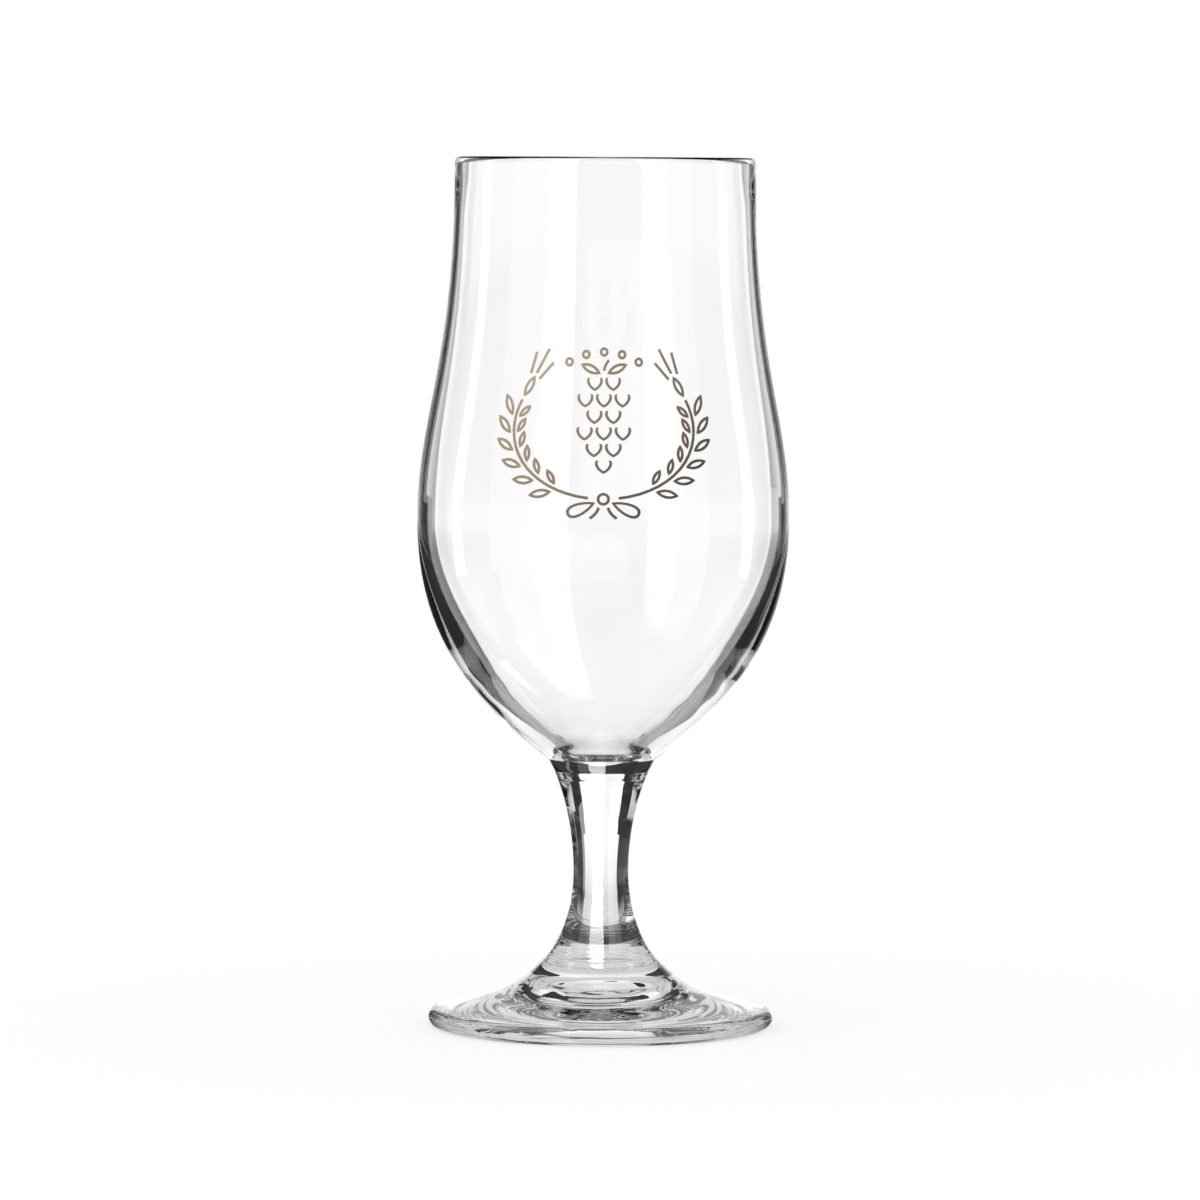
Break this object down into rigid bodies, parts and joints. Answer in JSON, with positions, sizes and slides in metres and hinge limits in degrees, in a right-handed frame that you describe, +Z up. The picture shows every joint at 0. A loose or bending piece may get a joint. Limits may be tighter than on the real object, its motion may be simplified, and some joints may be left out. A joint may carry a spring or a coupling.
{
  "type": "tulip beer glass",
  "caption": "Stemmed tulip beer glass: a blown bowl with a full belly and a narrower mouth, a waisted solid stem, a round pressed foot, and a bronze line print of hop and barley.",
  "frame": {"origin": "middle of the ring that the glass stands on, at table height", "axes": "+Z up along the axis of the glass; the print on the bowl faces -Y, and +X is to the right of the print"},
  "size_m": [0.083, 0.0831, 0.194],
  "materials": {
    "clear_glass": "clear, fire polished",
    "bronze_print": "fired enamel with a satin metallic sheen"
  },
  "bodies": {
    "root": {"bowl": "clear_glass", "stem": "clear_glass", "foot": "clear_glass", "print_hop_cone": "bronze_print", "print_left_barley": "bronze_print", "print_right_barley": "bronze_print", "print_bow": "bronze_print", "print_rings": "bronze_print"}
  },
  "joints": []
}
